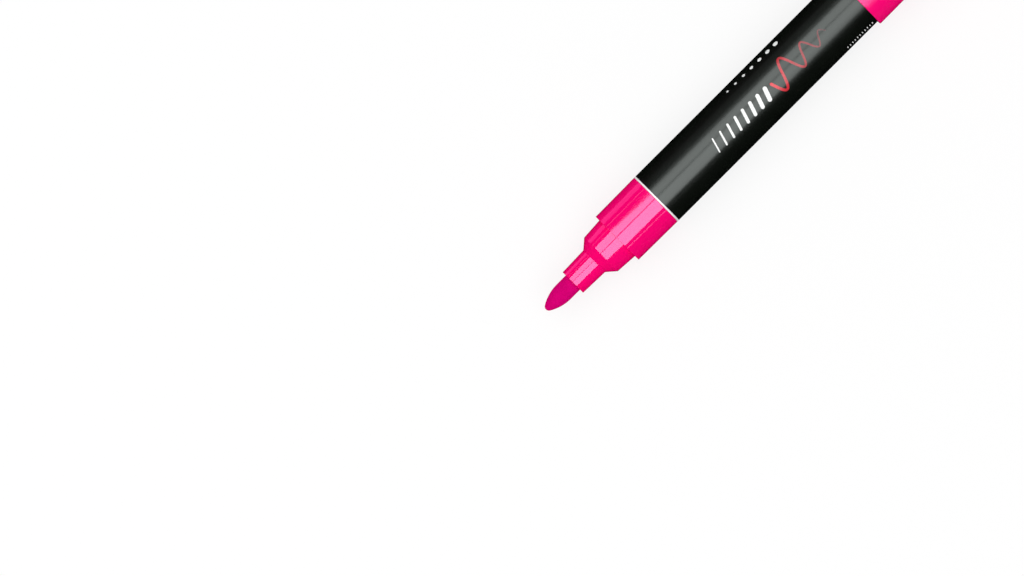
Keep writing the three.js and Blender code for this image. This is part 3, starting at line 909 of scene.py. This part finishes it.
def mark_print():
    """Slanted strokes and dots of growing size, and a row of fine ticks beside the cap."""
    bands = []
    for i in range(BAR_COUNT):
        half_width = mix(BAR_HALF_WIDTHS, i / (BAR_COUNT - 1))
        low = Vector((BARS_X + i * BAR_PITCH, BARS_ROUND + BAR_HEIGHT / 2 - half_width))
        high = Vector((BARS_X + i * BAR_PITCH + BAR_LEAN, BARS_ROUND - BAR_HEIGHT / 2 + half_width))
        path = [low.lerp(high, k / BAR_STEPS) for k in range(BAR_STEPS + 1)]
        bands.append((path, [half_width] * len(path)))
    for i in range(DOT_COUNT):
        radius = mix(DOT_RADII, i / (DOT_COUNT - 1))
        x = DOTS_X + i * DOT_PITCH
        bands.append(([(x - DOT_STRETCH, DOTS_ROUND), (x + DOT_STRETCH, DOTS_ROUND)], [radius] * 2))
    for i in range(TICK_COUNT):
        x = TICKS_X + i * TICK_PITCH
        path = [(x, TICKS_ROUND + TICK_HEIGHT * (k / TICK_STEPS - 0.5)) for k in range(TICK_STEPS + 1)]
        bands.append((path, [TICK_HALF_WIDTH] * len(path)))
    return printed("label_print_marks", bands, white_print)


stand_for(front_section(), "barrel", "pink_plastic", "front_section")
stand_for(nib(), "nib", "inked_felt", "nib")
stand_for(barrel(), "barrel", "white_plastic", "barrel")
stand_for(label(), "barrel", "black_film", "label_sleeve")
stand_for(tail_plug(), "barrel", "pink_plastic", "tail_plug")
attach(wave_print(), "barrel")
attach(mark_print(), "barrel")
stand_for(cap_shell(), "cap", "pink_plastic", "cap_shell")
stand_for(cap_liner(), "cap", "natural_plastic", "cap_liner")
stand_for(valve_seat(), "barrel", "white_plastic", "valve_seat")
stand_for(valve_cage(), "barrel", "white_plastic", "valve_cage")
stand_for(valve_stem(), "valve", "white_plastic", "valve_stem")
stand_for(stem_seal(), "valve", "silicone", "stem_seal")
spring = stand_for(valve_spring(), "barrel", "steel", "valve_spring")
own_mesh(spring)
stand_for(mixing_ball("mixing_ball_front_fine", BALL_FRONT_X), "front_ball", "steel", "mixing_ball_front")
stand_for(mixing_ball("mixing_ball_rear_fine", BALL_REAR_X), "rear_ball", "steel", "mixing_ball_rear")


# Camera

right = Vector((1, -1, 0)).normalized()
up = Vector((1, 1, 0)).normalized()
width = PHOTO_WIDTH * PIXEL * MM
distance = width * LENS / SENSOR
ring_rear = Vector(((MOUTH_X + RING_LENGTH) * MM, 0, 0))
centre = ring_rear - (RING_REAR_RIGHT_PIXELS * right + RING_REAR_UP_PIXELS * up) * PIXEL * MM
camera_data = bpy.data.cameras.new("camera")
camera_data.lens = LENS
camera_data.sensor_width = SENSOR
camera_data.clip_start = CLIP_START
camera_data.clip_end = CLIP_END
camera = bpy.data.objects.new("camera", camera_data)
bpy.context.scene.collection.objects.link(camera)
camera.location = centre + Vector((0, 0, distance))
camera.rotation_euler = (0, 0, math.radians(CAMERA_TURN))
bpy.context.scene.camera = camera


# Floor and light

def staged(name, vertices, faces, material):
    mesh = bpy.data.meshes.new(name)
    mesh.from_pydata(vertices, [], faces)
    mesh.materials.append(material)
    piece = bpy.data.objects.new(name, mesh)
    bpy.context.scene.collection.objects.link(piece)
    return piece


def background_rays(tree):
    """1 for the rays that show the background: those from the camera, a mirror or through glass."""
    path = tree.nodes.new("ShaderNodeLightPath")
    total = path.outputs["Is Camera Ray"]
    for ray in ("Is Glossy Ray", "Is Transmission Ray"):
        larger = tree.nodes.new("ShaderNodeMath")
        larger.operation = "MAXIMUM"
        tree.links.new(total, larger.inputs[0])
        tree.links.new(path.outputs[ray], larger.inputs[1])
        total = larger.outputs[0]
    return total


def floor():
    """A pale floor, whose shadow the background's white makes faint. The marker rests on the cap's mouth
    and on the front edge of the land, so the floor leans along it, and is level further out. Reflections
    show the cards and not the floor."""
    slope = (CAP_RADIUS - LAND_FRONT_RADIUS) / (CAP_MOUTH_X - STEP_X)
    vertices = []
    for x in (-FLOOR_HALF_SIZE, -FLOOR_TILTED_HALF, FLOOR_TILTED_HALF, FLOOR_HALF_SIZE):
        leaning_x = max(-FLOOR_TILTED_HALF, min(FLOOR_TILTED_HALF, x))
        drop = MM * CAP_RADIUS + slope * (leaning_x - MM * CAP_MOUTH_X)
        vertices += [(x, -FLOOR_HALF_SIZE, -drop), (x, FLOOR_HALF_SIZE, -drop)]
    faces = [(k, k + 2, k + 3, k + 1) for k in (0, 2, 4)]
    shader = Shader("floor", linear(246, 246, 246), specular_ior_level=0, roughness=1)
    share = shader.node("ShaderNodeMath", Value=background_rays(shader.tree))
    share.operation = "MULTIPLY"
    share.inputs[1].default_value = FLOOR_WHITE_SHARE
    blend = shader.node("ShaderNodeMixShader", Fac=share.outputs[0])
    shader.feed(blend.inputs[1], shader.principled.outputs[0])
    shader.feed(blend.inputs[2], shader.node("ShaderNodeEmission", Strength=1).outputs[0])
    shader.feed(shader.tree.nodes["Material Output"].inputs["Surface"], blend.outputs[0])
    staged("floor", vertices, faces, shader.material).visible_glossy = False


def glow(name, radiance):
    material = bpy.data.materials.new(name)
    material.use_nodes = True
    tree = material.node_tree
    tree.nodes.remove(tree.nodes["Principled BSDF"])
    emission = tree.nodes.new("ShaderNodeEmission")
    emission.inputs["Color"].default_value = (*radiance, 1)
    emission.inputs["Strength"].default_value = 1
    tree.links.new(emission.outputs[0], tree.nodes["Material Output"].inputs["Surface"])
    return material


def card(name, starts, end, radiance, edges):
    """A strip that only shows in reflections. starts are the angles at which its two long edges start,
    and edges are their places (x, radius)."""
    vertices, faces = [], []
    for i in range(CARD_STEPS + 1):
        for start, (x, radius) in zip(starts, edges):
            angle = math.radians(mix((start, end), i / CARD_STEPS))
            vertices.append((x, -radius * math.sin(angle), radius * math.cos(angle)))
    for k in range(0, 2 * CARD_STEPS, 2):
        faces.append((k, k + 1, k + 3, k + 2))
    piece = staged(name, vertices, faces, glow(name, radiance))
    piece.visible_camera = False
    piece.visible_diffuse = False
    piece.visible_shadow = False
    piece.visible_transmission = False


def flag():
    """A black sheet across the axis at the barrel's mouth, which keeps the side card out of the label."""
    edges = [(MM * MOUTH_X, radius) for radius in (FLAG_INNER_RADIUS, CARD_RADIUS)]
    card("black_flag", (FLAG_START, FLAG_START), FLAG_END, (0, 0, 0), edges)


def key_light():
    """A long softbox overhead, which lights the marker without showing in it."""
    data = bpy.data.lights.new("key_light", "AREA")
    data.shape = "RECTANGLE"
    data.size, data.size_y = KEY_LIGHT_SIZE
    data.energy = KEY_LIGHT_WATTS
    light = bpy.data.objects.new("key_light", data)
    light.location = KEY_LIGHT_PLACE
    light.visible_glossy = False
    light.visible_camera = False
    bpy.context.scene.collection.objects.link(light)


def studio_world():
    """Soft light from all round, under a background that is white."""
    world = bpy.data.worlds.new("studio")
    world.use_nodes = True
    tree = world.node_tree
    strength = tree.nodes.new("ShaderNodeMapRange")
    tree.links.new(background_rays(tree), strength.inputs["Value"])
    strength.inputs["To Min"].default_value = WORLD_LIGHT
    strength.inputs["To Max"].default_value = 1
    background = tree.nodes["Background"]
    background.inputs["Color"].default_value = (1, 1, 1, 1)
    tree.links.new(strength.outputs["Result"], background.inputs["Strength"])
    bpy.context.scene.world = world
    world.cycles_visibility.glossy = False


floor()
for card_name, (start, end, radiance, stretch) in CARDS.items():
    starts = (start, start + CARD_LEANS.get(card_name, 0))
    card(card_name, starts, end, radiance, [(x, CARD_RADIUS) for x in stretch])
flag()
key_light()
studio_world()

bpy.context.scene.view_settings.view_transform = "Standard"
